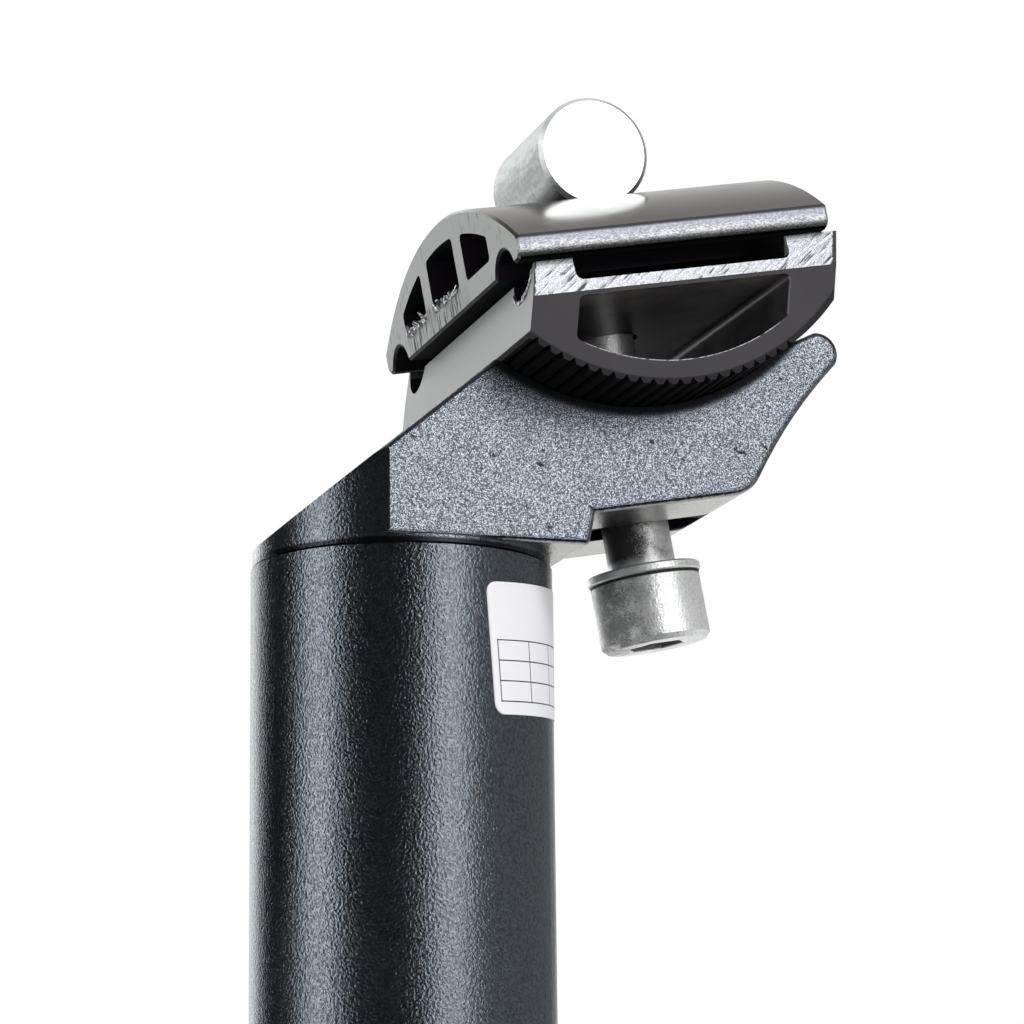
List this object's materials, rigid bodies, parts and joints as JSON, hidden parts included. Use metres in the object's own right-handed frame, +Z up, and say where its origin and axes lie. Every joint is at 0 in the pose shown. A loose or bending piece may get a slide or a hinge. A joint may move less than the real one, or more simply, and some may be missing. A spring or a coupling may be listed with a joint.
{
  "type": "bicycle seatpost",
  "caption": "Bicycle seatpost: round tube with a forged offset head, a toothed cradle, and extruded clamp jaws for saddle rails, drawn together by a socket screw and barrel nut.",
  "frame": {"origin": "centre of the tube's top rim, where the collar of the head meets the tube", "axes": "+Z up along the tube, +X to the rear of the bicycle, +Y to the rider's right"},
  "size_m": [0.0661, 0.0554, 0.3566],
  "materials": {
    "tube_coat": "satin black powder coat with a fine pebble",
    "head_coat": "dark coat over a shot-blasted forging",
    "lower_jaw": "dark satin extrusion, bare where milled",
    "upper_jaw": "smooth grey extrusion, bare where sawn",
    "zinc_steel": "dull zinc plate"
  },
  "bodies": {
    "post": {"tube": "tube_coat", "head": "head_coat"},
    "lower_jaw": {"lower_clamp": "lower_jaw"},
    "upper_jaw": {"upper_clamp": "upper_jaw", "barrel_nut": "zinc_steel"},
    "screw_washer": {"washer": "zinc_steel"},
    "screw": {"clamp_bolt": "zinc_steel"}
  },
  "joints": [
    {"name": "clamp_tilt", "type": "hinge", "parent": "post", "child": "lower_jaw", "pos_m": [0.0221, 0, 0.0443], "axis": [0, 1, 0], "range_deg": [-5, 5]},
    {"name": "jaw_open", "type": "slide", "parent": "lower_jaw", "child": "upper_jaw", "axis": [-0.1736, 0, 0.9848], "range_m": [0, 0.0015]},
    {"name": "bolt_draw", "type": "slide", "parent": "upper_jaw", "child": "screw_washer", "axis": [-0.1736, 0, 0.9848], "range_m": [0, 0.0025]},
    {"name": "bolt_turn", "type": "hinge", "parent": "screw_washer", "child": "screw", "pos_m": [0.02981, 0, 0.00057], "axis": [-0.1736, 0, 0.9848], "range_deg": [0, 720]}
  ],
  "couplings": [
    {"joint": "bolt_draw", "follows": "bolt_turn", "m_per_rad": 0.00019894}
  ]
}
